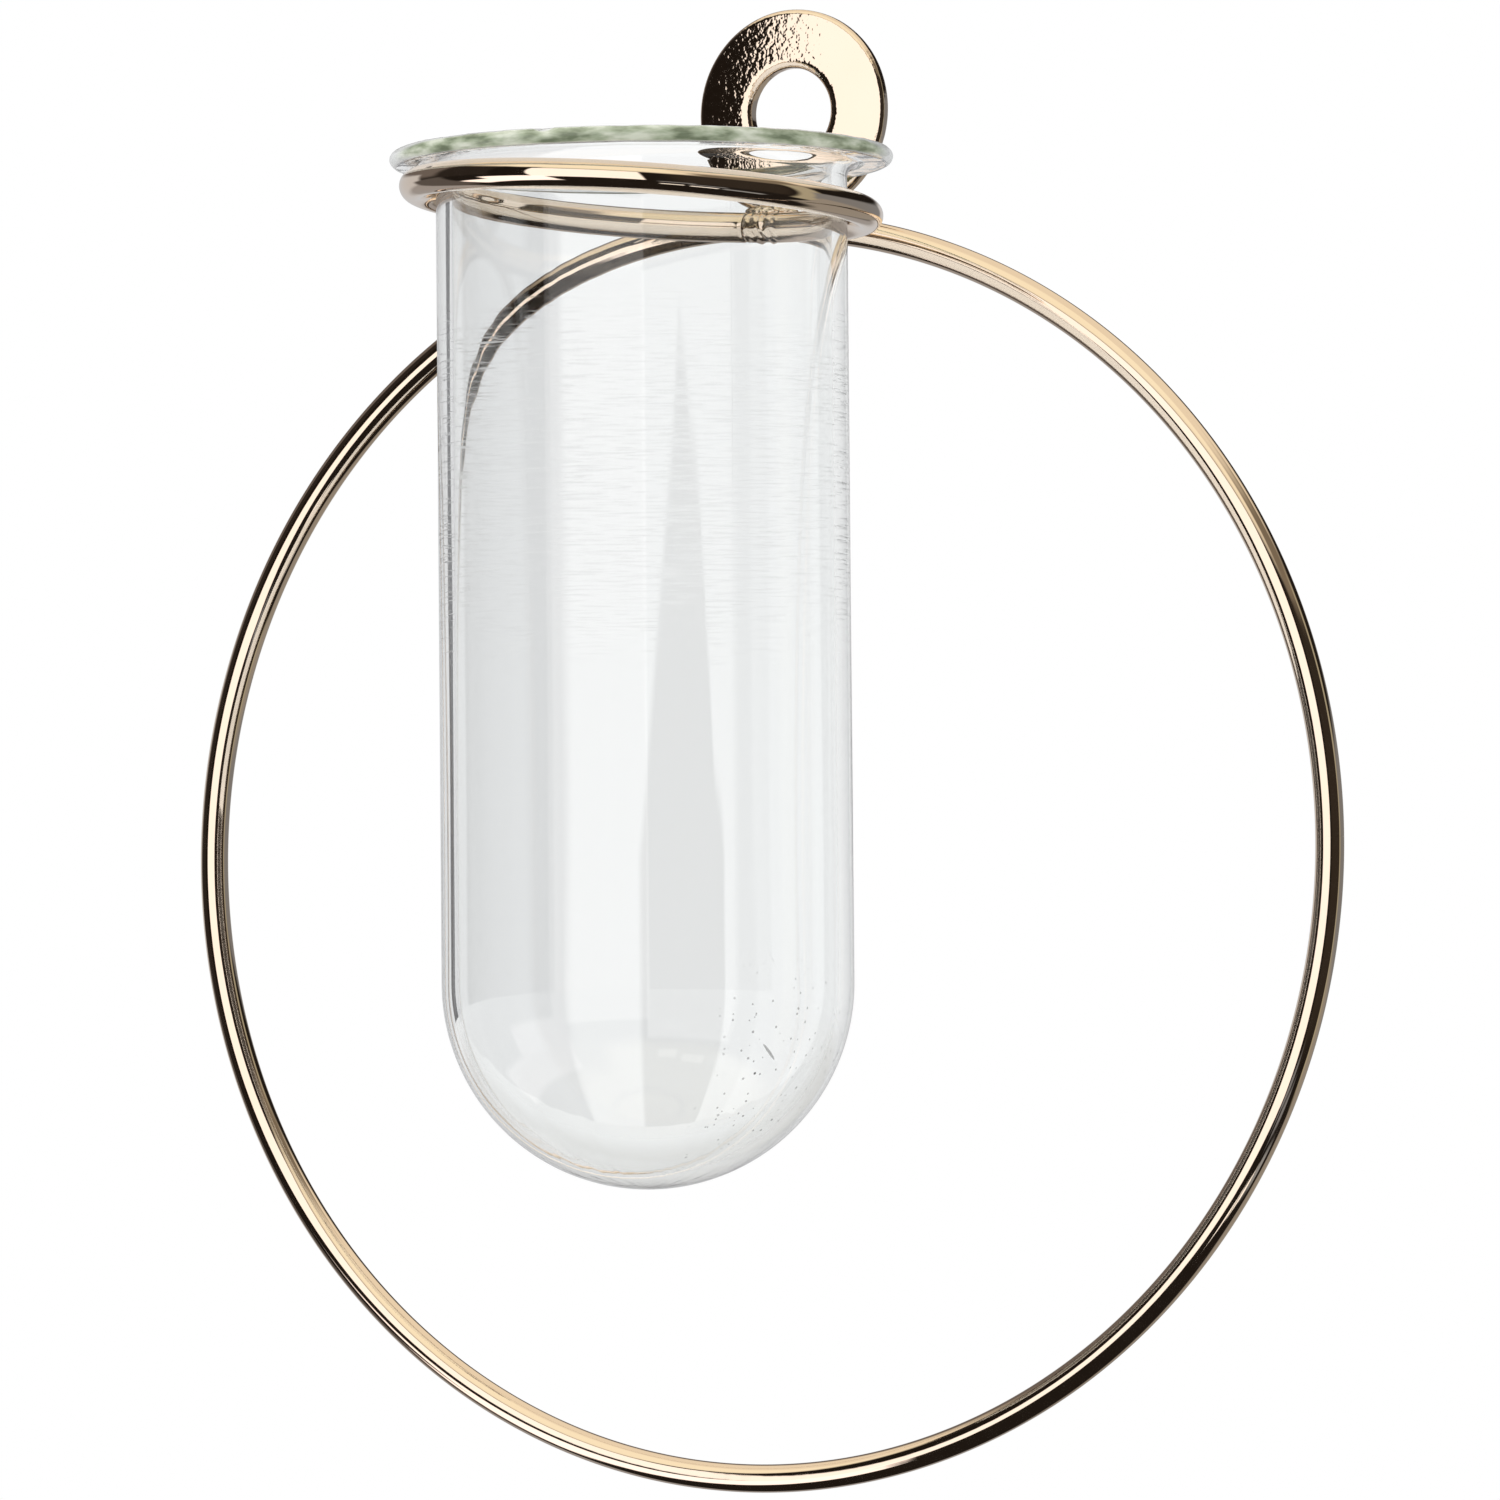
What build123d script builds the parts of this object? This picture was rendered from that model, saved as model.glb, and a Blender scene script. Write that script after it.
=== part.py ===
from build123d import *
import math
import os

# Hanging wall vase: a wire hoop with a washer to hang it by, a small wire ring welded
# to the front of the hoop, and a round-bottomed glass tube that hangs in that ring by its lip.
# Millimetres. +Z is up and the front looks along -Y. The origin is the centre of the hanging hole.
# The washer and the hoop lie flush at the back, where they touch the wall.

# Hoop
hoop_outer_diameter = 127.0
hoop_wire = 2.8

# Hanging eyelet, a stamped washer with rolled edges in front and a plain back
eyelet_outer_diameter = 20.5
eyelet_hole_diameter = 8.8
eyelet_thickness = 1.6
eyelet_front_round = 0.5
eyelet_back_round = 0.15
eyelet_weld_depth = 0.2

# Holder ring
ring_wire = 3.0
ring_clearance = 0.6
ring_weld_depth = 0.15
ring_side_offset = -3.2
ring_drop = 0.33
ring_seam_gap = 0.12

# Weld beads, spindles of metal along the joints
eyelet_bead_length = 7.6
eyelet_bead_diameter = 2.2
ring_bead_length = 8.4
ring_bead_diameter = 2.4
ring_bead_side_shift = 1.1

# Glass tube
glass_outer_diameter = 40.0
glass_wall = 1.5
glass_length = 101.0
lip_overhang = 4.5
lip_thickness = 1.64
lip_neck_fillet = 1.2
lip_seat_gap = 0.2
glass_side_offset = 0.15
glass_front_offset = 0.2

# Angles: the frame hangs turned a little about its nail while the glass stays plumb,
# and the ring rises slightly towards the front
frame_turn_deg = 3.6
ring_rise_deg = 2.2

# Worked out from the sizes above
hoop_radius = (hoop_outer_diameter - hoop_wire) / 2
eyelet_radius = eyelet_outer_diameter / 2
hoop_centre_z = -(hoop_outer_diameter / 2 + eyelet_radius - eyelet_weld_depth)
glass_radius = glass_outer_diameter / 2
hoop_centre_y = eyelet_thickness / 2 - hoop_wire / 2
ring_radius = glass_radius + ring_clearance + ring_wire / 2
ring_rear_y = hoop_centre_y - hoop_wire / 2 - ring_wire / 2 + ring_weld_depth
ring_rear_z = hoop_centre_z + math.sqrt(hoop_radius ** 2 - ring_side_offset ** 2) - ring_drop
ring_rise = math.radians(ring_rise_deg)
frame_turn = math.radians(frame_turn_deg)


def turned(shape):
    """Turns a piece of the frame about the nail, clockwise as seen from the front."""
    return shape.rotate(Axis.Y, frame_turn_deg)


def risen(shape):
    """Tips a piece built round the ring's rear point so that the ring's front comes up."""
    rear = Axis((ring_side_offset, ring_rear_y, ring_rear_z), (1, 0, 0))
    return shape.rotate(rear, -ring_rise_deg)


def bead(place, length, diameter):
    """A spindle along X, as a run of weld metal: half an ellipse turned about its long axis."""
    arc = EllipticalCenterArc((0, 0), length / 2, diameter / 2, start_angle=0, arc_size=180)
    chord = Line((-length / 2, 0), (length / 2, 0))
    return Pos(*place) * revolve(Face(Wire([arc, chord])), Axis.X, 360)


def make_hoop():
    ring = Pos(0, hoop_centre_y, hoop_centre_z) * Rot(90, 0, 0) * Torus(hoop_radius, hoop_wire / 2)
    return Solid(ring.wrapped)


def make_eyelet(hoop):
    """A washer whose lower edge has run into the hoop's wire."""
    disc = Cylinder(eyelet_radius, eyelet_thickness) - Cylinder(eyelet_hole_diameter / 2, eyelet_thickness)
    rims = disc.edges().filter_by(GeomType.CIRCLE).group_by(Axis.Z)
    disc = fillet(rims[-1], eyelet_front_round)
    back_rims = disc.edges().filter_by(GeomType.CIRCLE).group_by(Axis.Z)[0]
    disc = fillet(back_rims, eyelet_back_round)
    return Rot(90, 0, 0) * disc - hoop


def make_ring(hoop):
    """Wire bent to a circle whose two ends butt at the rear, where the hoop's wire is welded to them."""
    centre = Pos(ring_side_offset, ring_rear_y - ring_radius, ring_rear_z)
    ring = centre * Torus(ring_radius, ring_wire / 2)
    seam = Pos(ring_side_offset, ring_rear_y, ring_rear_z) * Box(ring_seam_gap, 2 * ring_wire, 2 * ring_wire)
    return risen(ring - seam) - hoop


def make_eyelet_weld(hoop, eyelet):
    """The run of weld between the washer's rim and the hoop, flush with their backs."""
    joint = (0, eyelet_thickness / 2 - eyelet_bead_diameter / 2, -eyelet_radius)
    return bead(joint, eyelet_bead_length, eyelet_bead_diameter) - hoop - eyelet


def make_ring_weld(hoop, ring):
    joint_y = ring_rear_y + ring_wire / 2 - ring_weld_depth / 2
    joint = (ring_side_offset + ring_bead_side_shift, joint_y, ring_rear_z)
    return bead(joint, ring_bead_length, ring_bead_diameter) - hoop - ring


def ring_centre():
    """The ring's centre after it has risen about its rear point and turned with the frame."""
    x = ring_side_offset
    y = ring_rear_y - ring_radius * math.cos(ring_rise)
    z = ring_rear_z + ring_radius * math.sin(ring_rise)
    turned_x = x * math.cos(frame_turn) + z * math.sin(frame_turn)
    turned_z = z * math.cos(frame_turn) - x * math.sin(frame_turn)
    return turned_x, y, turned_z


def lip_seat_height(centre_z):
    """The height of the lip's underside: just over the highest point of the leaning ring."""
    upright = math.cos(ring_rise) * math.cos(frame_turn)
    return centre_z + ring_radius * math.sqrt(1 - upright ** 2) + ring_wire / 2 + lip_seat_gap


def make_glass():
    """The section of the glass, turned about its own axis: round bottom, straight wall, flared lip."""
    centre_x, centre_y, centre_z = ring_centre()
    under = lip_seat_height(centre_z)
    top = under + lip_thickness
    bottom = top - glass_length
    bore = glass_radius - glass_wall
    ball_z = bottom + glass_radius
    neck_z = under - lip_neck_fillet
    flare_radius = glass_radius + lip_neck_fillet
    throat = lip_neck_fillet + glass_wall
    edge_radius = lip_thickness / 2
    edge_centre = glass_radius + lip_overhang - edge_radius
    throat_edge = bore + throat
    half = math.sqrt(1 / 2)

    outer_ball = ThreePointArc(
        (0, bottom), (glass_radius * half, ball_z - glass_radius * half), (glass_radius, ball_z))
    outer_wall = Line((glass_radius, ball_z), (glass_radius, neck_z))
    outer_flare = ThreePointArc(
        (glass_radius, neck_z),
        (flare_radius - lip_neck_fillet * half, neck_z + lip_neck_fillet * half),
        (flare_radius, under))
    underside = Line((flare_radius, under), (edge_centre, under))
    edge = ThreePointArc((edge_centre, under), (edge_centre + edge_radius, under + edge_radius), (edge_centre, top))
    face = Line((edge_centre, top), (throat_edge, neck_z + throat))
    inner_flare = ThreePointArc(
        (throat_edge, neck_z + throat),
        (throat_edge - throat * half, neck_z + throat * half),
        (bore, neck_z))
    inner_wall = Line((bore, neck_z), (bore, ball_z))
    inner_ball = ThreePointArc((bore, ball_z), (bore * half, ball_z - bore * half), (0, ball_z - bore))
    axis = Line((0, ball_z - bore), (0, bottom))
    outline = Wire([
        outer_ball, outer_wall, outer_flare, underside, edge,
        face, inner_flare, inner_wall, inner_ball, axis])
    section = Plane.XZ * Face(outline)
    glass = revolve(section, Axis.Z, 360)
    return Pos(centre_x + glass_side_offset, centre_y - glass_front_offset, 0) * glass


hoop = make_hoop()
eyelet = make_eyelet(hoop)
ring = make_ring(hoop)
pieces = {
    "hoop": turned(hoop),
    "hanging_eyelet": turned(eyelet),
    "holder_ring": turned(ring),
    "eyelet_weld": turned(make_eyelet_weld(hoop, eyelet)),
    "ring_weld": turned(make_ring_weld(hoop, ring)),
    "glass_tube": make_glass(),
}

os.makedirs("parts", exist_ok=True)
for name, piece in pieces.items():
    export_step(piece, f"parts/{name}.step")
    box = piece.bounding_box()
    print(name, len(piece.solids()), round(piece.volume, 1), box.min, box.max)
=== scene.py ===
import math

import bmesh
import bpy
from mathutils import Euler, Matrix, Vector, noise


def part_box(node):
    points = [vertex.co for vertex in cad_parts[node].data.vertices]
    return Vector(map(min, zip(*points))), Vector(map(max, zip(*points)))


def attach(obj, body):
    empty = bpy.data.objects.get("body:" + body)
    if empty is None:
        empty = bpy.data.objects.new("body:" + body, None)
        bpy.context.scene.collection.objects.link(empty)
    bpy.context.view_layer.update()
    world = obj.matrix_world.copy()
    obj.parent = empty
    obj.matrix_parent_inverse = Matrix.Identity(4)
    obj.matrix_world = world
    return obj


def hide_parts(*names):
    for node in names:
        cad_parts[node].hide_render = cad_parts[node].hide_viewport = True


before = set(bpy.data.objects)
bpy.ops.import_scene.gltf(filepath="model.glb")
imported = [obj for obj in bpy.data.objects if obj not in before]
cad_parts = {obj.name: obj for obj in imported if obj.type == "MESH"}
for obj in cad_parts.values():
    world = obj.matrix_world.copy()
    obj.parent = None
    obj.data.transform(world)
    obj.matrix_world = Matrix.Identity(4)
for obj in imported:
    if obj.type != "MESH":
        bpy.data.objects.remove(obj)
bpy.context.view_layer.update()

# Camera. It looks at the vase from the right and from a little below the lip, through a long lens,
# as the photograph was taken. Its three axes are its right, its up and the way back from the vase.
camera_azimuth = math.radians(27.08)
camera_elevation = math.radians(-2.51)
camera_roll = math.radians(-0.50)
camera_place = Vector((0.4465, -0.8841, -0.1068))
level_right = Vector((math.cos(camera_azimuth), math.sin(camera_azimuth), 0.0))
way_back = Vector((
    math.sin(camera_azimuth) * math.cos(camera_elevation),
    -math.cos(camera_azimuth) * math.cos(camera_elevation),
    math.sin(camera_elevation)))
level_up = way_back.cross(level_right)
rolled_right = math.cos(camera_roll) * level_right + math.sin(camera_roll) * level_up
rolled_up = -math.sin(camera_roll) * level_right + math.cos(camera_roll) * level_up
lens = bpy.data.cameras.new("photo_camera")
lens.sensor_width = 36.0
lens.lens = 240.0
lens.clip_start = 0.05
lens.clip_end = 50.0
camera = bpy.data.objects.new("photo_camera", lens)
camera.matrix_world = Matrix((
    (rolled_right.x, rolled_up.x, way_back.x, camera_place.x),
    (rolled_right.y, rolled_up.y, way_back.y, camera_place.y),
    (rolled_right.z, rolled_up.z, way_back.z, camera_place.z),
    (0.0, 0.0, 0.0, 1.0)))
bpy.context.scene.collection.objects.link(camera)
bpy.context.scene.camera = camera


# Hoop. One length of 2.8 mm steel wire, rolled to a circle, butt welded and polished, then plated
# champagne gold. It is the frame that the washer and the holder ring are welded to.
mm = 0.001
hoop_bend_radius = 62.1 * mm
hoop_wire_radius = 1.4 * mm
hoop_centre = Vector((-4.618, -0.6, -73.405)) * mm
hoop_sides = 48
wire_steps = 721
plating_light = (0.95, 0.82, 0.69, 1.0)
plating_deep = (0.92, 0.76, 0.61, 1.0)
gloss_spread = 0.06


def add_node(tree, kind, **settings):
    """A node of a material or geometry tree, with its plain settings."""
    made = tree.nodes.new(kind)
    for setting, value in settings.items():
        setattr(made, setting, value)
    return made


def plated_finish(name, skin_size, skin_depth, skin_detail, dullness):
    """Bright champagne plating: a slow drift of tone, and a fine skin in its gloss and its relief."""
    material = bpy.data.materials.new(name)
    material.use_nodes = True
    tree = material.node_tree
    wire = tree.links.new
    plating = tree.nodes["Principled BSDF"]
    plating.inputs["Metallic"].default_value = 1.0
    place = add_node(tree, "ShaderNodeTexCoord").outputs["Object"]

    drift = add_node(tree, "ShaderNodeTexNoise")
    drift.inputs["Scale"].default_value = 90.0
    drift.inputs["Detail"].default_value = 3.0
    wire(place, drift.inputs["Vector"])
    tone = add_node(tree, "ShaderNodeMix", data_type="RGBA")
    tone.inputs["A"].default_value = plating_deep
    tone.inputs["B"].default_value = plating_light
    wire(drift.outputs["Fac"], tone.inputs["Factor"])
    wire(tone.outputs["Result"], plating.inputs["Base Color"])

    skin = add_node(tree, "ShaderNodeTexNoise")
    skin.inputs["Scale"].default_value = 1 / skin_size
    skin.inputs["Detail"].default_value = skin_detail
    skin.inputs["Roughness"].default_value = 0.55
    wire(place, skin.inputs["Vector"])
    gloss = add_node(tree, "ShaderNodeMapRange")
    gloss.inputs["From Min"].default_value = 0.35
    gloss.inputs["From Max"].default_value = 0.75
    gloss.inputs["To Min"].default_value = dullness
    gloss.inputs["To Max"].default_value = dullness + gloss_spread
    wire(skin.outputs["Fac"], gloss.inputs["Value"])
    wire(gloss.outputs["Result"], plating.inputs["Roughness"])

    relief = add_node(tree, "ShaderNodeBump")
    relief.inputs["Strength"].default_value = 1.0
    relief.inputs["Distance"].default_value = skin_depth
    wire(skin.outputs["Fac"], relief.inputs["Height"])
    wire(relief.outputs["Normal"], plating.inputs["Normal"])
    return material


def bent_wire_tree(name):
    """Geometry nodes that bend a round wire to an arc of a circle and close its two ends."""
    tree = bpy.data.node_groups.new(name, "GeometryNodeTree")
    sizes = (
        ("Bend radius", "NodeSocketFloat"), ("Wire radius", "NodeSocketFloat"),
        ("Start angle", "NodeSocketFloat"), ("Swept angle", "NodeSocketFloat"),
        ("Steps along", "NodeSocketInt"), ("Sides", "NodeSocketInt"),
        ("Tilt", "NodeSocketVector"), ("Centre", "NodeSocketVector"),
        ("Finish", "NodeSocketMaterial"))
    for label, kind in sizes:
        tree.interface.new_socket(name=label, in_out="INPUT", socket_type=kind)
    tree.interface.new_socket(name="Geometry", in_out="OUTPUT", socket_type="NodeSocketGeometry")
    wire = tree.links.new
    given = add_node(tree, "NodeGroupInput").outputs
    bend = add_node(tree, "GeometryNodeCurveArc", mode="RADIUS")
    wire(given["Bend radius"], bend.inputs["Radius"])
    wire(given["Start angle"], bend.inputs["Start Angle"])
    wire(given["Swept angle"], bend.inputs["Sweep Angle"])
    wire(given["Steps along"], bend.inputs["Resolution"])
    section = add_node(tree, "GeometryNodeCurvePrimitiveCircle", mode="RADIUS")
    wire(given["Wire radius"], section.inputs["Radius"])
    wire(given["Sides"], section.inputs["Resolution"])
    drawn = add_node(tree, "GeometryNodeCurveToMesh")
    drawn.inputs["Fill Caps"].default_value = True
    wire(bend.outputs["Curve"], drawn.inputs["Curve"])
    wire(section.outputs["Curve"], drawn.inputs["Profile Curve"])
    smooth = add_node(tree, "GeometryNodeSetShadeSmooth")
    wire(drawn.outputs["Mesh"], smooth.inputs["Geometry"])
    placed = add_node(tree, "GeometryNodeTransform")
    wire(smooth.outputs["Geometry"], placed.inputs["Geometry"])
    wire(given["Tilt"], placed.inputs["Rotation"])
    wire(given["Centre"], placed.inputs["Translation"])
    solid = add_node(tree, "GeometryNodeRealizeInstances")
    wire(placed.outputs["Geometry"], solid.inputs["Geometry"])
    finished = add_node(tree, "GeometryNodeSetMaterial")
    wire(solid.outputs["Geometry"], finished.inputs["Geometry"])
    wire(given["Finish"], finished.inputs["Material"])
    made = add_node(tree, "NodeGroupOutput")
    wire(finished.outputs["Geometry"], made.inputs["Geometry"])
    return tree


def bend_wire(name, tree, sizes):
    """Runs the wire's nodes with these sizes and returns the wire as a plain mesh object."""
    stock = bpy.data.objects.new(name + "_stock", bpy.data.meshes.new(name + "_stock"))
    bpy.context.scene.collection.objects.link(stock)
    bender = stock.modifiers.new("bender", "NODES")
    bender.node_group = tree
    for item in tree.interface.items_tree:
        if item.item_type == "SOCKET" and item.in_out == "INPUT":
            bender[item.identifier] = sizes[item.name]
    bpy.context.view_layer.update()
    depsgraph = bpy.context.evaluated_depsgraph_get()
    shape = bpy.data.meshes.new_from_object(stock.evaluated_get(depsgraph))
    stock.modifiers.remove(bender)
    bpy.data.objects.remove(stock)
    shape.name = name
    piece = bpy.data.objects.new(name, shape)
    bpy.context.scene.collection.objects.link(piece)
    return piece


def close_up(piece, gap):
    """Joins points that lie on each other and turns every face outwards."""
    shape = bmesh.new()
    shape.from_mesh(piece.data)
    bmesh.ops.remove_doubles(shape, verts=shape.verts, dist=gap)
    bmesh.ops.recalc_face_normals(shape, faces=shape.faces)
    if shape.calc_volume(signed=True) < 0:
        bmesh.ops.reverse_faces(shape, faces=shape.faces)
    shape.to_mesh(piece.data)
    shape.free()
    for face in piece.data.polygons:
        face.use_smooth = True


wire_finish = plated_finish(
    "champagne_wire", skin_size=1.6 * mm, skin_depth=0.006 * mm, skin_detail=0.6, dullness=0.02)
bent_wire = bent_wire_tree("bent_wire")
hoop = bend_wire("hoop_wire", bent_wire, {
    "Bend radius": hoop_bend_radius, "Wire radius": hoop_wire_radius,
    "Start angle": 0.0, "Swept angle": 2 * math.pi,
    "Steps along": wire_steps, "Sides": hoop_sides,
    "Tilt": (math.pi / 2, 0.0, 0.0), "Centre": tuple(hoop_centre),
    "Finish": wire_finish})
close_up(hoop, gap=0.002 * mm)
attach(hoop, "frame")
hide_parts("hoop")


# Hanging washer. A stamped steel washer with a face that is slightly crowned and pebbled by the
# blanking, rolled front edges and a plain back. It is welded to the top of the hoop and plated with it.
washer_radius = 10.25 * mm
washer_hole_radius = 4.4 * mm
washer_half = 0.8 * mm
washer_crown = 0.42 * mm
washer_front_edge = 0.55 * mm
washer_rim_roll = 0.6 * mm
washer_hole_roll = 0.9 * mm
washer_back_edge = 0.55 * mm
face_steps = 28
on_axis = 1e-9


def arc(centre, radius, start, end, steps, stretch=1.0):
    """Points of an arc in a section, from one angle to another in degrees, stretched sideways."""
    turn = [math.radians(start + (end - start) * step / steps) for step in range(steps + 1)]
    return [(centre[0] + stretch * radius * math.cos(a), centre[1] + radius * math.sin(a)) for a in turn]


def turn_section(name, section, steps, closed):
    """Turns a section of (radius, height) points about the Z axis. A closed section makes a ring,
    an open one starts and ends on the axis. The UV map holds the turn and the way along the section."""
    along = [0.0]
    for a, b in zip(section, section[1:]):
        along.append(along[-1] + math.dist(a, b))
    length = along[-1] + (math.dist(section[-1], section[0]) if closed else 0.0)
    shape = bmesh.new()
    layer = shape.loops.layers.uv.new("turned")
    rows = []
    for radius, height in section:
        if radius < on_axis:
            rows.append([shape.verts.new((0.0, 0.0, height))] * steps)
        else:
            rows.append([
                shape.verts.new((
                    radius * math.cos(2 * math.pi * k / steps),
                    radius * math.sin(2 * math.pi * k / steps),
                    height))
                for k in range(steps)])
    count = len(rows)
    for i in range(count if closed else count - 1):
        j = (i + 1) % count
        low, high = along[i] / length, (along[j] if j else length) / length
        for k in range(steps):
            m = (k + 1) % steps
            corners = [
                (rows[i][k], k, low), (rows[i][m], k + 1, low),
                (rows[j][m], k + 1, high), (rows[j][k], k, high)]
            used = []
            for corner in corners:
                if corner[0] not in [u[0] for u in used]:
                    used.append(corner)
            face = shape.faces.new([u[0] for u in used])
            for loop, corner in zip(face.loops, used):
                loop[layer].uv = (corner[1] / steps, corner[2])
    mesh = bpy.data.meshes.new(name)
    shape.to_mesh(mesh)
    shape.free()
    piece = bpy.data.objects.new(name, mesh)
    bpy.context.scene.collection.objects.link(piece)
    return piece


def crown(radius):
    """How far the washer's face stands out from its rim at this radius."""
    return washer_crown * (1 - (radius / washer_radius) ** 2)


rim_face = washer_radius - washer_rim_roll
hole_face = washer_hole_radius + washer_hole_roll
hole_rise = crown(hole_face) - crown(rim_face)
back_height = washer_back_edge - washer_half
washer_section = arc(
    (rim_face, washer_half - washer_front_edge), washer_front_edge, 0, 90, steps=12,
    stretch=washer_rim_roll / washer_front_edge)
for step in range(1, face_steps):
    radius = rim_face + (hole_face - rim_face) * step / face_steps
    washer_section.append((radius, washer_half + crown(radius) - crown(rim_face)))
washer_section += arc(
    (hole_face, washer_half + hole_rise - washer_front_edge), washer_front_edge, 90, 180, steps=14,
    stretch=washer_hole_roll / washer_front_edge)
washer_section += arc(
    (washer_hole_radius + washer_back_edge, back_height), washer_back_edge, 180, 270, steps=4)
washer_section += arc(
    (washer_radius - washer_back_edge, back_height), washer_back_edge, 270, 360, steps=4)
washer = turn_section("washer_disc", washer_section, steps=240, closed=True)
washer.data.transform(Matrix.Rotation(math.pi / 2, 4, "X"))
close_up(washer, gap=0.001 * mm)
washer_finish = plated_finish(
    "champagne_washer", skin_size=0.50 * mm, skin_depth=0.029 * mm, skin_detail=1.2, dullness=0.02)
washer.data.materials.append(washer_finish)
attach(washer, "frame")
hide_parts("hanging_eyelet")


# Holder ring. A length of 3 mm steel wire bent to a circle that the glass drops through, with its
# two ends butted at the back and tacked to the hoop there. The heat has roughened it by the seam.
ring_bend_radius = 22.1 * mm
ring_wire_radius = 1.5 * mm
ring_sides = 56
ring_seam = 0.12 * mm
ring_rise = math.radians(-2.2)
frame_turn = math.radians(3.6)
ring_centre = Vector((-3.885, -25.434, -10.791)) * mm
seam_side_shift = 1.2 * mm
pinch_reach = 0.35 * mm
pinch_depth = 0.10
burn_reach = 5.2 * mm
burn_depth = 0.16 * mm
burn_fade = 0.6
burn_lump_size = 0.75 * mm
burn_grain_size = 0.3 * mm

seam_angle = ring_seam / ring_bend_radius
seam_bend = math.pi / 2 - seam_side_shift / ring_bend_radius
ring = bend_wire("ring_wire", bent_wire, {
    "Bend radius": ring_bend_radius, "Wire radius": ring_wire_radius,
    "Start angle": seam_bend + seam_angle / 2, "Swept angle": 2 * math.pi - seam_angle,
    "Steps along": wire_steps, "Sides": ring_sides,
    "Tilt": (0.0, 0.0, 0.0), "Centre": (0.0, 0.0, 0.0),
    "Finish": wire_finish})
close_up(ring, gap=0.001 * mm)
for point in ring.data.vertices:
    bend = math.atan2(point.co.y, point.co.x)
    past_seam = (seam_bend - bend) * ring_bend_radius
    core = Vector((math.cos(bend), math.sin(bend), 0.0)) * ring_bend_radius
    outward = point.co - core
    end_pinch = max(0.0, 1 - abs(past_seam) / pinch_reach)
    squeeze = 1 - pinch_depth * end_pinch ** 2
    lump = 0.0
    if 0 < past_seam < burn_reach:
        fade = math.sin(math.pi * past_seam / burn_reach) ** burn_fade
        coarse = noise.noise(point.co / burn_lump_size)
        grain = noise.noise(point.co / burn_grain_size)
        lump = burn_depth * fade * (coarse + 0.5 * grain)
    point.co = core + outward * squeeze + outward.normalized() * lump
ring_tilt = Euler((ring_rise, frame_turn, 0.0)).to_matrix().to_4x4()
ring.data.transform(Matrix.Translation(ring_centre) @ ring_tilt)
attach(ring, "frame")
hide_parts("holder_ring")


# Welds. Small runs of weld metal, ground a little and plated over: one between washer and hoop,
# one between the ring's butted ends and the hoop.
weld_around = 72
weld_along = 96
weld_slimness = 0.92
lumps_across, lumps_along = 1.6, 5.0
grain_across, grain_along = 5.0, 16.0


def weld_run(name, box_of, seed, lumps):
    """A lumpy spindle that fills the box of its solid, with coarse lumps and a finer grain."""
    low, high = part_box(box_of)
    centre, half = (low + high) / 2, (high - low) / 2
    shape = bmesh.new()
    bmesh.ops.create_uvsphere(shape, u_segments=weld_around, v_segments=weld_along, radius=1.0)
    for point in shape.verts:
        x, y, along = point.co
        coarse = noise.noise(
            Vector((x * lumps_across, y * lumps_across, along * lumps_along)) + Vector((seed, 0, 0)))
        grain = noise.noise(
            Vector((x * grain_across, y * grain_across, along * grain_along)) + Vector((0, seed, 0)))
        size = weld_slimness * (1 + lumps * coarse + lumps * 0.5 * grain)
        point.co = Vector((along * half.x, x * half.y * size, y * half.z * size))
    turned_to_place = Matrix.Translation(centre) @ Matrix.Rotation(frame_turn, 4, "Y")
    bmesh.ops.transform(shape, matrix=turned_to_place, verts=shape.verts)
    mesh = bpy.data.meshes.new(name)
    shape.to_mesh(mesh)
    shape.free()
    piece = bpy.data.objects.new(name, mesh)
    bpy.context.scene.collection.objects.link(piece)
    close_up(piece, gap=0.0005 * mm)
    return piece


weld_finish = plated_finish(
    "champagne_weld", skin_size=0.5 * mm, skin_depth=0.05 * mm, skin_detail=4.0, dullness=0.08)
washer_weld = weld_run("washer_weld_run", "eyelet_weld", seed=3.0, lumps=0.18)
washer_weld.data.materials.append(weld_finish)
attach(washer_weld, "frame")
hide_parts("eyelet_weld")
seam_weld = weld_run("seam_weld_run", "ring_weld", seed=8.0, lumps=0.22)
seam_weld.data.materials.append(weld_finish)
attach(seam_weld, "frame")
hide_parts("ring_weld")


# Glass tube. A lamp-worked laboratory-style tube: clear drawn tubing with a blown round bottom and
# a flat flange turned out at the mouth, whose thick rim looks green edge-on. It hangs by that flange.
glass_radius = 20.0 * mm
glass_wall = 1.5 * mm
flange_thickness = 1.64 * mm
neck_fillet = 1.2 * mm
glass_low, glass_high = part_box("glass_tube")
glass_axis = Vector(((glass_low.x + glass_high.x) / 2, (glass_low.y + glass_high.y) / 2, 0.0))
flange_radius = (glass_high.x - glass_low.x) / 2
mouth = glass_high.z
foot = glass_low.z
seat = mouth - flange_thickness
bore = glass_radius - glass_wall
ball = foot + glass_radius
neck = seat - neck_fillet
throat = neck_fillet + glass_wall
edge = flange_thickness / 2

wall_steps = 60
flange_steps = 8
ripple_depth = 0.05 * mm
ripples_around, fine_ripples_around = 9.0, 27.0
chip_size = 1.1 * mm
chip_depth = 0.22 * mm
chip_grain_size = 0.4 * mm
chip_inset = edge * 0.3
chip_turn = math.radians(5.0)


def run(start, end, steps):
    """Points of a straight run in a section, without its two ends."""
    return [
        tuple(a + (b - a) * step / steps for a, b in zip(start, end))
        for step in range(1, steps)]


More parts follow.
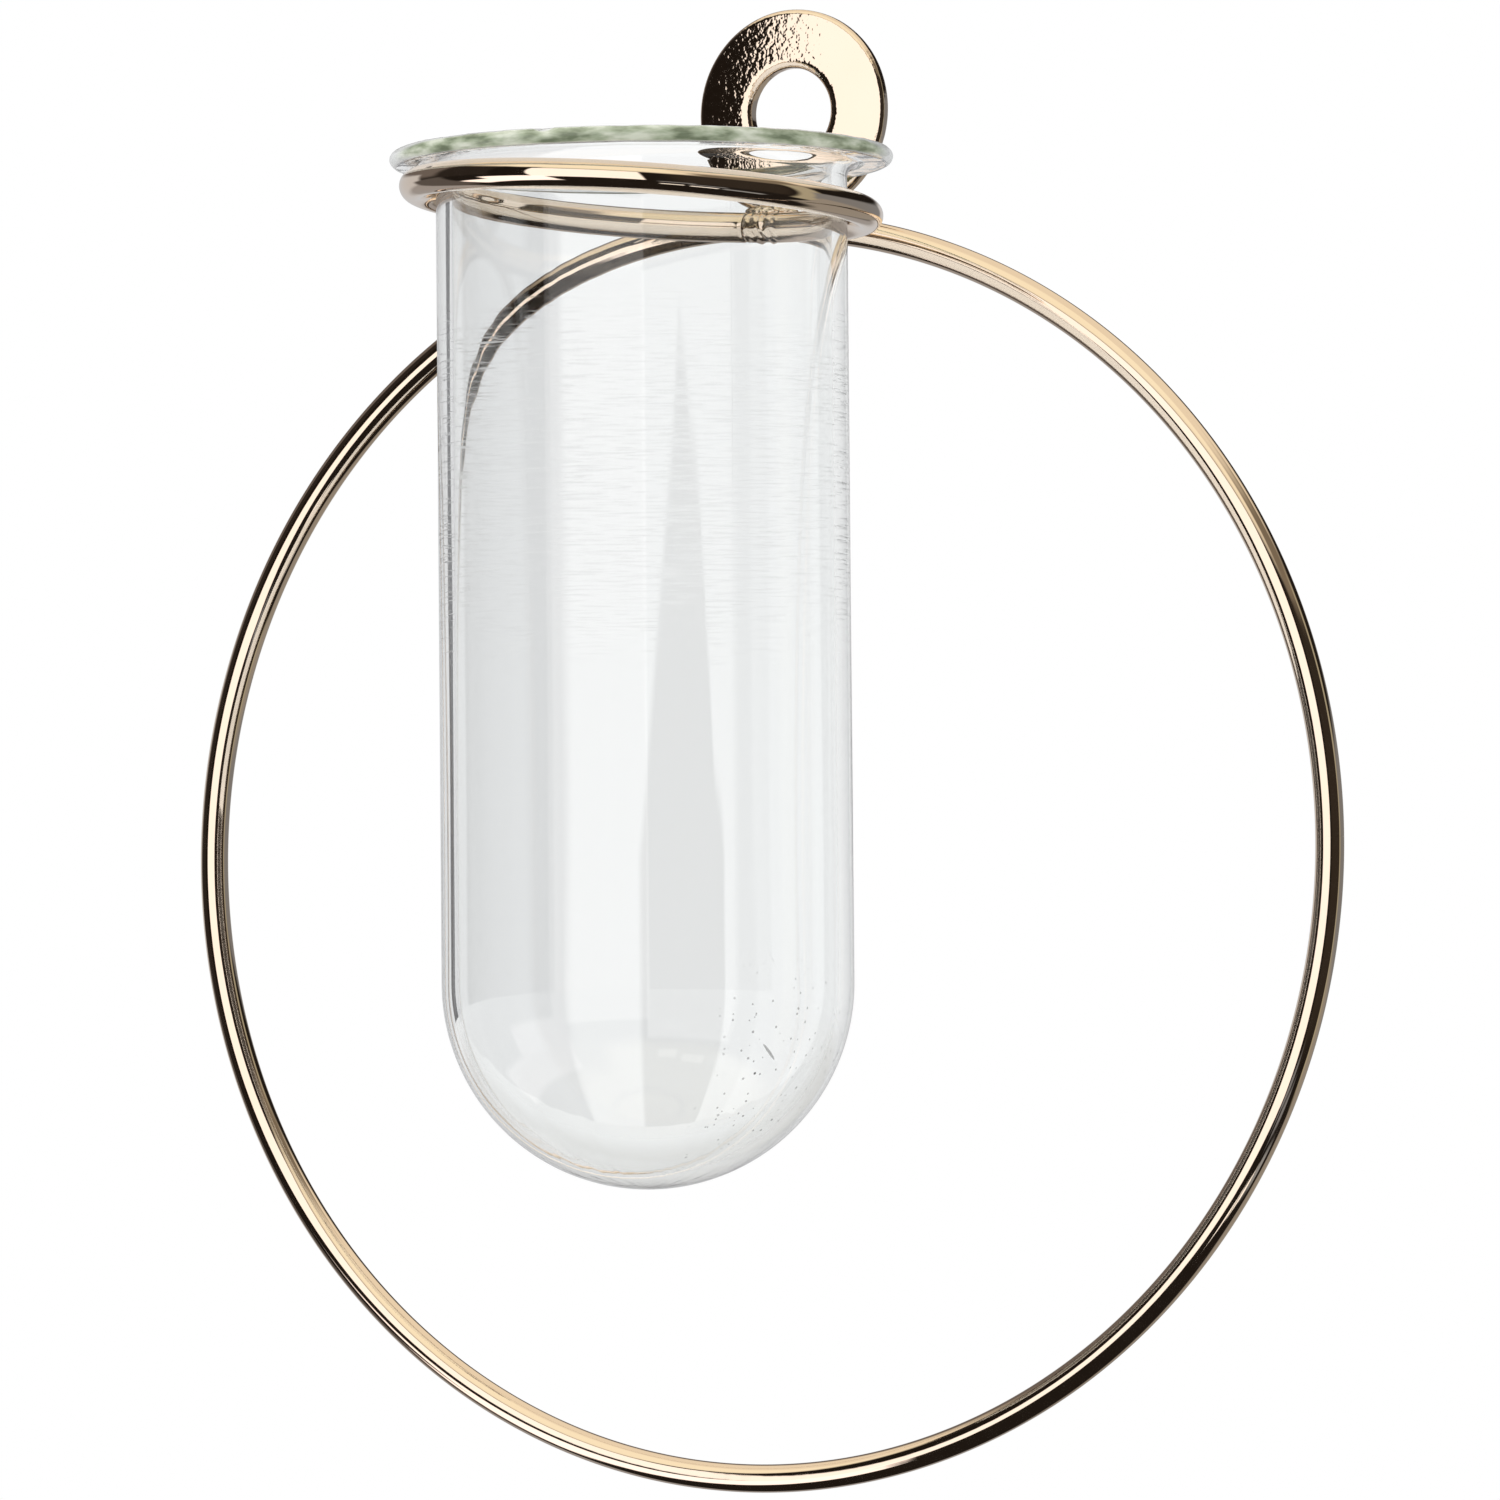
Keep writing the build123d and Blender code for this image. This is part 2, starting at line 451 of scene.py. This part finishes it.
glass_section = arc((0.0, ball), glass_radius, -90, 0, wall_steps)
glass_section[0] = (0.0, foot)
glass_section += run((glass_radius, ball), (glass_radius, neck), wall_steps)
glass_section += arc((glass_radius + neck_fillet, neck), neck_fillet, 180, 90, steps=12)
glass_section += run((glass_radius + neck_fillet, seat), (flange_radius - edge, seat), flange_steps)
glass_section += arc((flange_radius - edge, seat + edge), edge, -90, 90, steps=16)
glass_section += run((flange_radius - edge, mouth), (bore + throat, mouth), flange_steps)
glass_section += arc((bore + throat, neck), throat, 90, 180, steps=14)
glass_section += run((bore, neck), (bore, ball), wall_steps)
glass_section += arc((0.0, ball), bore, 0, -90, wall_steps)
glass_section[-1] = (0.0, ball - bore)
glass = turn_section("vase_glass", glass_section, steps=288, closed=False)
glass.data.transform(Matrix.Translation(glass_axis))
close_up(glass, gap=0.0005 * mm)
chip_reach = flange_radius - chip_inset
chip = glass_axis + Vector((
    math.sin(chip_turn) * chip_reach, -math.cos(chip_turn) * chip_reach, mouth - chip_inset))
for point in glass.data.vertices:
    spoke = point.co - glass_axis
    reach = math.hypot(spoke.x, spoke.y)
    if reach > glass_radius + neck_fillet / 2:
        spread = min(1.0, (reach - glass_radius) / (3 * mm))
        turn = Vector((spoke.x, spoke.y, 0.0)) / reach
        ripple = noise.noise(turn * ripples_around) + 0.5 * noise.noise(turn * fine_ripples_around)
        sag = 1 if point.co.z > seat + edge else -0.6
        point.co.z -= ripple_depth * spread * (1 + ripple) * sag
        from_chip = (point.co - chip).length / chip_size
        if from_chip < 1:
            bite = chip_depth * (1 - from_chip ** 2) * (1 + 0.6 * noise.noise(point.co / chip_grain_size))
            point.co -= Vector((turn.x, turn.y, 0.6)) * bite


def clear_glass(name):
    """Clear drawn glass with fine rub lines, a few specks, a scratch, and a mostly opaque rim painted in
    the glass's own green with a mottle of painted light and shade for the refractions seen edge-on.
    """
    painted_mottles_around = 7.0
    painted_mottle_height = 1.1 * mm
    speck_size = 0.125
    plain_share = 0.62
    scratch_place = (math.radians(65.5) * glass_radius, -93.8 * mm, 0.0)
    scratch_lean = math.radians(-38)
    scratch_half = (1.2 * mm, 0.14 * mm, 1.0)
    rub_length = 5.0 * mm
    rub_spacing = 0.13 * mm
    rub_white = 0.07
    rub_dullness = 0.26
    waves_around = 5.0
    waves_up = 18.0
    wave_depth = 0.015 * mm

    material = bpy.data.materials.new(name)
    material.use_nodes = True
    tree = material.node_tree
    wire = tree.links.new
    body = tree.nodes["Principled BSDF"]
    body.inputs["IOR"].default_value = 1.5
    place = add_node(tree, "ShaderNodeTexCoord").outputs["Object"]
    spot = add_node(tree, "ShaderNodeMapping")
    spot.inputs["Location"].default_value = (-glass_axis.x, -glass_axis.y, 0.0)
    wire(place, spot.inputs["Vector"])
    parts = add_node(tree, "ShaderNodeSeparateXYZ")
    wire(spot.outputs["Vector"], parts.inputs["Vector"])

    def math_node(operation, first, second=None):
        made = add_node(tree, "ShaderNodeMath", operation=operation)
        for socket, value in zip(made.inputs, (first, second)):
            if isinstance(value, (int, float)):
                socket.default_value = value
            elif value is not None:
                wire(value, socket)
        return made.outputs["Value"]

    def ramp(value, low, high):
        made = add_node(tree, "ShaderNodeMapRange", interpolation_type="SMOOTHSTEP")
        made.inputs["From Min"].default_value = low
        made.inputs["From Max"].default_value = high
        wire(value, made.inputs["Value"])
        return made.outputs["Result"]

    def grid(x, y):
        made = add_node(tree, "ShaderNodeCombineXYZ")
        wire(x, made.inputs["X"])
        wire(y, made.inputs["Y"])
        return made.outputs["Vector"]

    sideways, inwards, height = (parts.outputs[axis] for axis in "XYZ")
    around = math_node("ARCTAN2", sideways, math_node("MULTIPLY", inwards, -1.0))
    reach = math_node("SQRT", math_node(
        "ADD", math_node("MULTIPLY", sideways, sideways), math_node("MULTIPLY", inwards, inwards)))

    # Painted light on the rim: the rim is made mostly opaque. It gets a painted pale edge light at its top
    # and bottom, and across its middle band the glass's own green with a mottle of painted light and shade
    # for the refractions seen edge-on through the thick glass. The band fades where the rim turns away from
    # the view.
    rim = ramp(reach, flange_radius - edge, flange_radius - edge * 0.5)
    turned_away = add_node(tree, "ShaderNodeLayerWeight")
    turned_away.inputs["Blend"].default_value = 0.5
    square_on = ramp(turned_away.outputs["Facing"], 0.82, 0.60)
    band = ramp(reach, flange_radius - edge * 0.85, flange_radius - edge * 0.40)
    painted_rim_band = math_node("MULTIPLY", band, square_on)
    painted_refraction_mottle = add_node(tree, "ShaderNodeTexNoise")
    painted_refraction_mottle.inputs["Scale"].default_value = 1.0
    painted_refraction_mottle.inputs["Detail"].default_value = 3.0
    swirl = grid(
        math_node("MULTIPLY", around, painted_mottles_around), math_node("MULTIPLY", height, 1 / painted_mottle_height))
    wire(swirl, painted_refraction_mottle.inputs["Vector"])
    # Painted light and shade of the rim's refractions, dark to pale, over the glass's own green.
    green = add_node(tree, "ShaderNodeValToRGB")
    green.color_ramp.elements[0].position = 0.36
    green.color_ramp.elements[0].color = (0.20, 0.24, 0.155, 1.0)
    green.color_ramp.elements[1].position = 0.66
    green.color_ramp.elements[1].color = (0.80, 0.84, 0.70, 1.0)
    middle_painted_green = green.color_ramp.elements.new(0.50)
    middle_painted_green.color = (0.46, 0.52, 0.375, 1.0)
    wire(painted_refraction_mottle.outputs["Fac"], green.inputs["Fac"])
    # The body's own faint tint, and the rim's painted pale edge light.
    body_tint_and_painted_rim_edge = add_node(tree, "ShaderNodeMix", data_type="RGBA")
    body_tint_and_painted_rim_edge.inputs["A"].default_value = (0.965, 0.972, 0.975, 1.0)
    body_tint_and_painted_rim_edge.inputs["B"].default_value = (0.90, 0.92, 0.91, 1.0)
    wire(rim, body_tint_and_painted_rim_edge.inputs["Factor"])
    tint_and_painted_rim = add_node(tree, "ShaderNodeMix", data_type="RGBA")
    wire(body_tint_and_painted_rim_edge.outputs["Result"], tint_and_painted_rim.inputs["A"])
    wire(green.outputs["Color"], tint_and_painted_rim.inputs["B"])
    wire(painted_rim_band, tint_and_painted_rim.inputs["Factor"])
    clearness = add_node(tree, "ShaderNodeMapRange")
    clearness.inputs["To Min"].default_value = 1.0
    clearness.inputs["To Max"].default_value = 0.15
    wire(clearness.outputs["Result"], body.inputs["Transmission Weight"])

    dots = add_node(tree, "ShaderNodeTexVoronoi")
    dots.inputs["Scale"].default_value = 900.0
    wire(place, dots.inputs["Vector"])
    low_down = ramp(height, ball + 4 * mm, ball - 4 * mm)
    right_side = ramp(around, math.radians(38), math.radians(62))
    dusty = math_node("MULTIPLY", low_down, right_side)
    speck = math_node("LESS_THAN", dots.outputs["Distance"], speck_size)
    few = add_node(tree, "ShaderNodeSeparateColor")
    wire(dots.outputs["Color"], few.inputs["Color"])
    chosen = math_node("GREATER_THAN", few.outputs["Red"], plain_share)
    specks = math_node("MULTIPLY", math_node("MULTIPLY", speck, chosen), dusty)
    unrolled = grid(math_node("MULTIPLY", around, glass_radius), height)
    nick = add_node(tree, "ShaderNodeMapping", vector_type="TEXTURE")
    nick.inputs["Location"].default_value = scratch_place
    nick.inputs["Rotation"].default_value = (0.0, 0.0, scratch_lean)
    nick.inputs["Scale"].default_value = scratch_half
    wire(unrolled, nick.inputs["Vector"])
    from_nick = add_node(tree, "ShaderNodeVectorMath", operation="LENGTH")
    wire(nick.outputs["Vector"], from_nick.inputs[0])
    in_nick = math_node("LESS_THAN", from_nick.outputs["Value"], 1.0)
    outside = math_node("GREATER_THAN", reach, glass_radius - 2 * mm)
    scratch = math_node("MULTIPLY", in_nick, outside)
    marks = math_node("MAXIMUM", specks, scratch)
    dusted = add_node(tree, "ShaderNodeMix", data_type="RGBA")
    dusted.inputs["B"].default_value = (0.24, 0.24, 0.24, 1.0)
    wire(tint_and_painted_rim.outputs["Result"], dusted.inputs["A"])
    wire(marks, dusted.inputs["Factor"])
    wire(dusted.outputs["Result"], body.inputs["Base Color"])

    rubbed = add_node(tree, "ShaderNodeTexNoise")
    rubbed.inputs["Scale"].default_value = 1.0
    rubbed.inputs["Detail"].default_value = 2.0
    lines = grid(
        math_node("MULTIPLY", around, glass_radius / rub_length),
        math_node("MULTIPLY", height, 1 / rub_spacing))
    wire(lines, rubbed.inputs["Vector"])
    below = ramp(height, mouth - 56 * mm, mouth - 38 * mm)
    above = ramp(height, mouth - 12 * mm, mouth - 22 * mm)
    belt = math_node("MULTIPLY", below, above)
    scuff = math_node("MULTIPLY", ramp(rubbed.outputs["Fac"], 0.56, 0.68), belt)
    # The rim is made mostly opaque here, so that its painted light shows; the rub scuffs turn a little
    # milky.
    opaque_rim_and_scuffs = math_node("MAXIMUM", rim, math_node("MULTIPLY", scuff, rub_white))
    wire(opaque_rim_and_scuffs, clearness.inputs["Value"])
    seen_flat = ramp(turned_away.outputs["Facing"], 0.70, 0.45)
    dull = math_node("MULTIPLY", math_node("MULTIPLY", scuff, seen_flat), rub_dullness)
    wire(dull, body.inputs["Roughness"])

    drawn = add_node(tree, "ShaderNodeTexNoise")
    drawn.inputs["Scale"].default_value = 1.0
    drawn.inputs["Detail"].default_value = 1.0
    long_waves = grid(math_node("MULTIPLY", around, waves_around), math_node("MULTIPLY", height, waves_up))
    wire(long_waves, drawn.inputs["Vector"])
    waves = add_node(tree, "ShaderNodeBump")
    waves.inputs["Strength"].default_value = 1.0
    waves.inputs["Distance"].default_value = wave_depth
    wire(drawn.outputs["Fac"], waves.inputs["Height"])
    wire(waves.outputs["Normal"], body.inputs["Normal"])

    depth = add_node(tree, "ShaderNodeVolumeAbsorption")
    depth.inputs["Color"].default_value = (0.80, 0.88, 0.78, 1.0)
    depth.inputs["Density"].default_value = 18.0
    wire(depth.outputs["Volume"], tree.nodes["Material Output"].inputs["Volume"])
    return material


glass.data.materials.append(clear_glass("clear_drawn_glass"))
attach(glass, "vase")
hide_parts("glass_tube")


# Studio. A pale floor below the vase that fades to white, a soft light from the upper left, and a
# surround that is white to the camera. The metal reflects a dark room, and the glass shows a pale backdrop.
floor_height = -0.21
floor_reach = 1.5
floor_mesh = bmesh.new()
bmesh.ops.create_circle(floor_mesh, cap_ends=True, segments=96, radius=floor_reach)
for point in floor_mesh.verts:
    point.co.z = floor_height
floor_shape = bpy.data.meshes.new("studio_floor")
floor_mesh.to_mesh(floor_shape)
floor_mesh.free()
floor = bpy.data.objects.new("studio_floor", floor_shape)
bpy.context.scene.collection.objects.link(floor)
floor.visible_glossy = False
floor.visible_shadow = False

floor_paint = bpy.data.materials.new("pale_floor")
floor_paint.use_nodes = True
paint_tree = floor_paint.node_tree
paint = paint_tree.nodes["Principled BSDF"]
paint.inputs["Base Color"].default_value = (0.86, 0.86, 0.85, 1.0)
paint.inputs["Roughness"].default_value = 0.8
paint.inputs["Specular IOR Level"].default_value = 0.1
white_light = add_node(paint_tree, "ShaderNodeEmission")
white_light.inputs["Color"].default_value = (1.0, 1.0, 1.0, 1.0)
floor_place = add_node(paint_tree, "ShaderNodeTexCoord")
floor_distance = add_node(paint_tree, "ShaderNodeVectorMath", operation="LENGTH")
paint_tree.links.new(floor_place.outputs["Object"], floor_distance.inputs[0])
fade = add_node(paint_tree, "ShaderNodeMapRange", interpolation_type="SMOOTHSTEP")
fade.inputs["From Min"].default_value = 0.35
fade.inputs["From Max"].default_value = 1.1
paint_tree.links.new(floor_distance.outputs["Value"], fade.inputs["Value"])
blend_out = add_node(paint_tree, "ShaderNodeMixShader")
paint_tree.links.new(fade.outputs["Result"], blend_out.inputs["Fac"])
paint_tree.links.new(paint.outputs["BSDF"], blend_out.inputs[1])
paint_tree.links.new(white_light.outputs["Emission"], blend_out.inputs[2])
paint_tree.links.new(blend_out.outputs["Shader"], paint_tree.nodes["Material Output"].inputs["Surface"])
floor_shape.materials.append(floor_paint)

surround = bpy.data.worlds.new("studio")
surround.use_nodes = True
bpy.context.scene.world = surround
sky = surround.node_tree
sky.nodes.clear()
direction = add_node(sky, "ShaderNodeTexCoord")
split = add_node(sky, "ShaderNodeSeparateXYZ")
sky.links.new(direction.outputs["Generated"], split.inputs["Vector"])


def sky_math(operation, first, second=None, third=None):
    """A sum in the surround's nodes."""
    made = add_node(sky, "ShaderNodeMath", operation=operation)
    for socket, value in zip(made.inputs, (first, second, third)):
        if isinstance(value, (int, float)):
            socket.default_value = value
        elif value is not None:
            sky.links.new(value, socket)
    return made.outputs["Value"]


sky_azimuth = sky_math(
    "ARCTAN2", split.outputs["X"], sky_math("MULTIPLY", split.outputs["Y"], -1.0))
sky_elevation = sky_math("ARCSINE", split.outputs["Z"])


def within(value, low, high, soft, wraps):
    """1 between two angles in degrees and 0 outside, with a soft border."""
    middle, half = math.radians((low + high) / 2), math.radians((high - low) / 2)
    away = sky_math("SUBTRACT", value, middle)
    if wraps:
        away = sky_math("WRAP", away, math.pi, -math.pi)
    away = sky_math("ABSOLUTE", away)
    made = add_node(sky, "ShaderNodeMapRange", interpolation_type="SMOOTHSTEP")
    made.inputs["From Min"].default_value = half + math.radians(soft) / 2
    made.inputs["From Max"].default_value = half - math.radians(soft) / 2
    sky.links.new(away, made.inputs["Value"])
    return made.outputs["Result"]


def board(under, colour, azimuths, elevations, soft):
    """Lays a panel of one colour over the surround, between two azimuths and two elevations.
    Without azimuths it goes all the way round."""
    cover = within(sky_elevation, *elevations, soft, wraps=False)
    if azimuths:
        cover = sky_math("MULTIPLY", cover, within(sky_azimuth, *azimuths, soft, wraps=True))
    laid = add_node(sky, "ShaderNodeMix", data_type="RGBA")
    if isinstance(under, tuple):
        laid.inputs["A"].default_value = (*under, 1.0)
    else:
        sky.links.new(under, laid.inputs["A"])
    laid.inputs["B"].default_value = (*colour, 1.0)
    sky.links.new(cover, laid.inputs["Factor"])
    return laid.outputs["Result"]


# Surround in the metal: a near-black room, with boards laid over it in this order. Each row holds
# a board's colour, its azimuths, its elevations and how soft its border is, in degrees.
dark_room = (0.014, 0.011, 0.009)
metal_boards = (
    ((0.87, 0.78, 0.62), None, (35, 120), 12.0),  # pale ceiling
    ((1.03, 0.96, 0.75), (-62, 52), (38, 78), 16.0),  # brighter ceiling in front
    ((0.20, 0.165, 0.12), (60, 128), (30, 50), 14.0),  # shaded border of the ceiling at the right
    ((0.15, 0.13, 0.12), (-165, -82), (2, 42), 14.0),  # dim wall at the left
    ((0.024, 0.019, 0.016), (-88, -44), (-6, 40), 10.0),  # dark corner at the left
    ((0.012, 0.009, 0.007), (-50, -25), (-12, 38), 5.0),  # black gap beside the tall light
    ((0.032, 0.025, 0.019), (42, 104), (-24, 30), 12.0),  # dark room at the right
    ((0.40, 0.37, 0.27), (108, 124), (-30, 34), 6.0),  # warm upright at the right
    ((0.21, 0.215, 0.225), (118, 186), (-16, 12), 6.0),  # grey backdrop, right half
    ((0.30, 0.28, 0.25), (122, 186), (-48, -11), 7.0),  # floor behind, right half
    ((0.58, 0.58, 0.59), (186, 256), (-16, 12), 6.0),  # grey backdrop, left half
    ((0.34, 0.33, 0.33), (-172, -110), (-44, -13), 8.0),  # floor behind, left half
    ((0.10, 0.09, 0.085), (-112, -84), (-42, -4), 6.0),  # dark end of that floor
    ((0.22, 0.23, 0.25), (34, 52), (-27, -22), 4.0),  # dim strip low at the right, in three steps
    ((0.22, 0.23, 0.25), (50, 70), (-34, -29), 4.0),
    ((0.30, 0.32, 0.34), (70, 96), (-45, -39), 4.0),
    ((1.20, 1.18, 1.14), (34, 47), (-42.5, -38), 1.5),  # thin white strip below it, in two steps
    ((1.20, 1.18, 1.14), (51, 67), (-44.5, -40), 1.5),
    ((1.25, 1.20, 1.17), (-29, 28), (-21, 32), 2.0),  # tall light in front
    ((1.45, 1.36, 1.36), (-84, -22), (-45, -30), 4.0),  # low white board at the left, in two steps
    ((1.45, 1.36, 1.36), (-61, -22), (-33, -17), 4.0))
in_metal = dark_room
for colour, azimuths, elevations, soft in metal_boards:
    in_metal = board(in_metal, colour, azimuths, elevations, soft)

# Surround seen through the glass. Behind the vase it is a pale grey to white backdrop with soft
# upright folds, one of them a wedge, and a dark upright far to the left. In front it is the metal's room.
backdrop = (1.04, 1.04, 1.04)
backdrop_boards = (
    ((0.80, 0.79, 0.76), None, (32, 120), 10.0),
    ((0.86, 0.86, 0.86), None, (-120, -24), 12.0),
    ((0.88, 0.88, 0.885), (-150.4, -100), (-40, 32), 0.4),
    ((1.09, 1.09, 1.09), (-165, -155.2), (-24, 30), 0.25))
for colour, azimuths, elevations, soft in backdrop_boards:
    backdrop = board(backdrop, colour, azimuths, elevations, soft)
fold_azimuth = math.radians(-153.15)
fold_width = add_node(sky, "ShaderNodeMapRange")
fold_width.inputs["From Min"].default_value = math.radians(1.9)
fold_width.inputs["From Max"].default_value = math.radians(5.2)
fold_width.inputs["To Min"].default_value = math.radians(1.05)
fold_width.inputs["To Max"].default_value = math.radians(0.02)
sky.links.new(sky_elevation, fold_width.inputs["Value"])
from_fold = sky_math("ABSOLUTE", sky_math("SUBTRACT", sky_azimuth, fold_azimuth))
in_fold = add_node(sky, "ShaderNodeMapRange", interpolation_type="SMOOTHSTEP")
in_fold.inputs["From Max"].default_value = math.radians(0.16)
sky.links.new(sky_math("SUBTRACT", fold_width.outputs["Result"], from_fold), in_fold.inputs["Value"])
folded = add_node(sky, "ShaderNodeMix", data_type="RGBA")
folded.inputs["B"].default_value = (0.87, 0.87, 0.87, 1.0)
sky.links.new(backdrop, folded.inputs["A"])
sky.links.new(in_fold.outputs["Result"], folded.inputs["Factor"])
backdrop = folded.outputs["Result"]
backdrop = board(backdrop, (0.06, 0.06, 0.065), (-123.5, -117.5), (-40, 32), soft=1.0)
front_half = within(sky_azimuth, -100, 105, soft=4.0, wraps=True)
facing_mix = add_node(sky, "ShaderNodeMix", data_type="RGBA")
sky.links.new(backdrop, facing_mix.inputs["A"])
sky.links.new(in_metal, facing_mix.inputs["B"])
sky.links.new(front_half, facing_mix.inputs["Factor"])
in_glass = facing_mix.outputs["Result"]

path = add_node(sky, "ShaderNodeLightPath")
plain_room = (0.80, 0.80, 0.80, 1.0)
glossy_mix = add_node(sky, "ShaderNodeMix", data_type="RGBA")
glossy_mix.inputs["A"].default_value = plain_room
sky.links.new(in_metal, glossy_mix.inputs["B"])
sky.links.new(path.outputs["Is Glossy Ray"], glossy_mix.inputs["Factor"])
through_mix = add_node(sky, "ShaderNodeMix", data_type="RGBA")
sky.links.new(glossy_mix.outputs["Result"], through_mix.inputs["A"])
sky.links.new(in_glass, through_mix.inputs["B"])
sky.links.new(path.outputs["Is Transmission Ray"], through_mix.inputs["Factor"])
camera_mix = add_node(sky, "ShaderNodeMix", data_type="RGBA")
camera_mix.inputs["B"].default_value = (1.0, 1.0, 1.0, 1.0)
sky.links.new(through_mix.outputs["Result"], camera_mix.inputs["A"])
sky.links.new(path.outputs["Is Camera Ray"], camera_mix.inputs["Factor"])
glow = add_node(sky, "ShaderNodeBackground")
sky.links.new(camera_mix.outputs["Result"], glow.inputs["Color"])
shown = add_node(sky, "ShaderNodeOutputWorld")
sky.links.new(glow.outputs["Background"], shown.inputs["Surface"])

softbox_place = Vector((-0.45, -0.55, 0.95))
softbox_aim = Vector((0.0, 0.0, -0.10))
softbox = bpy.data.lights.new("softbox", "AREA")
softbox.shape = "SQUARE"
softbox.size = 0.6
softbox.energy = 6.0
softbox_stand = bpy.data.objects.new("softbox", softbox)
softbox_stand.location = softbox_place
softbox_stand.rotation_euler = (softbox_place - softbox_aim).to_track_quat("Z", "Y").to_euler()
bpy.context.scene.collection.objects.link(softbox_stand)
softbox_stand.visible_glossy = False
softbox_stand.visible_transmission = False

bpy.context.scene.view_settings.view_transform = "Standard"
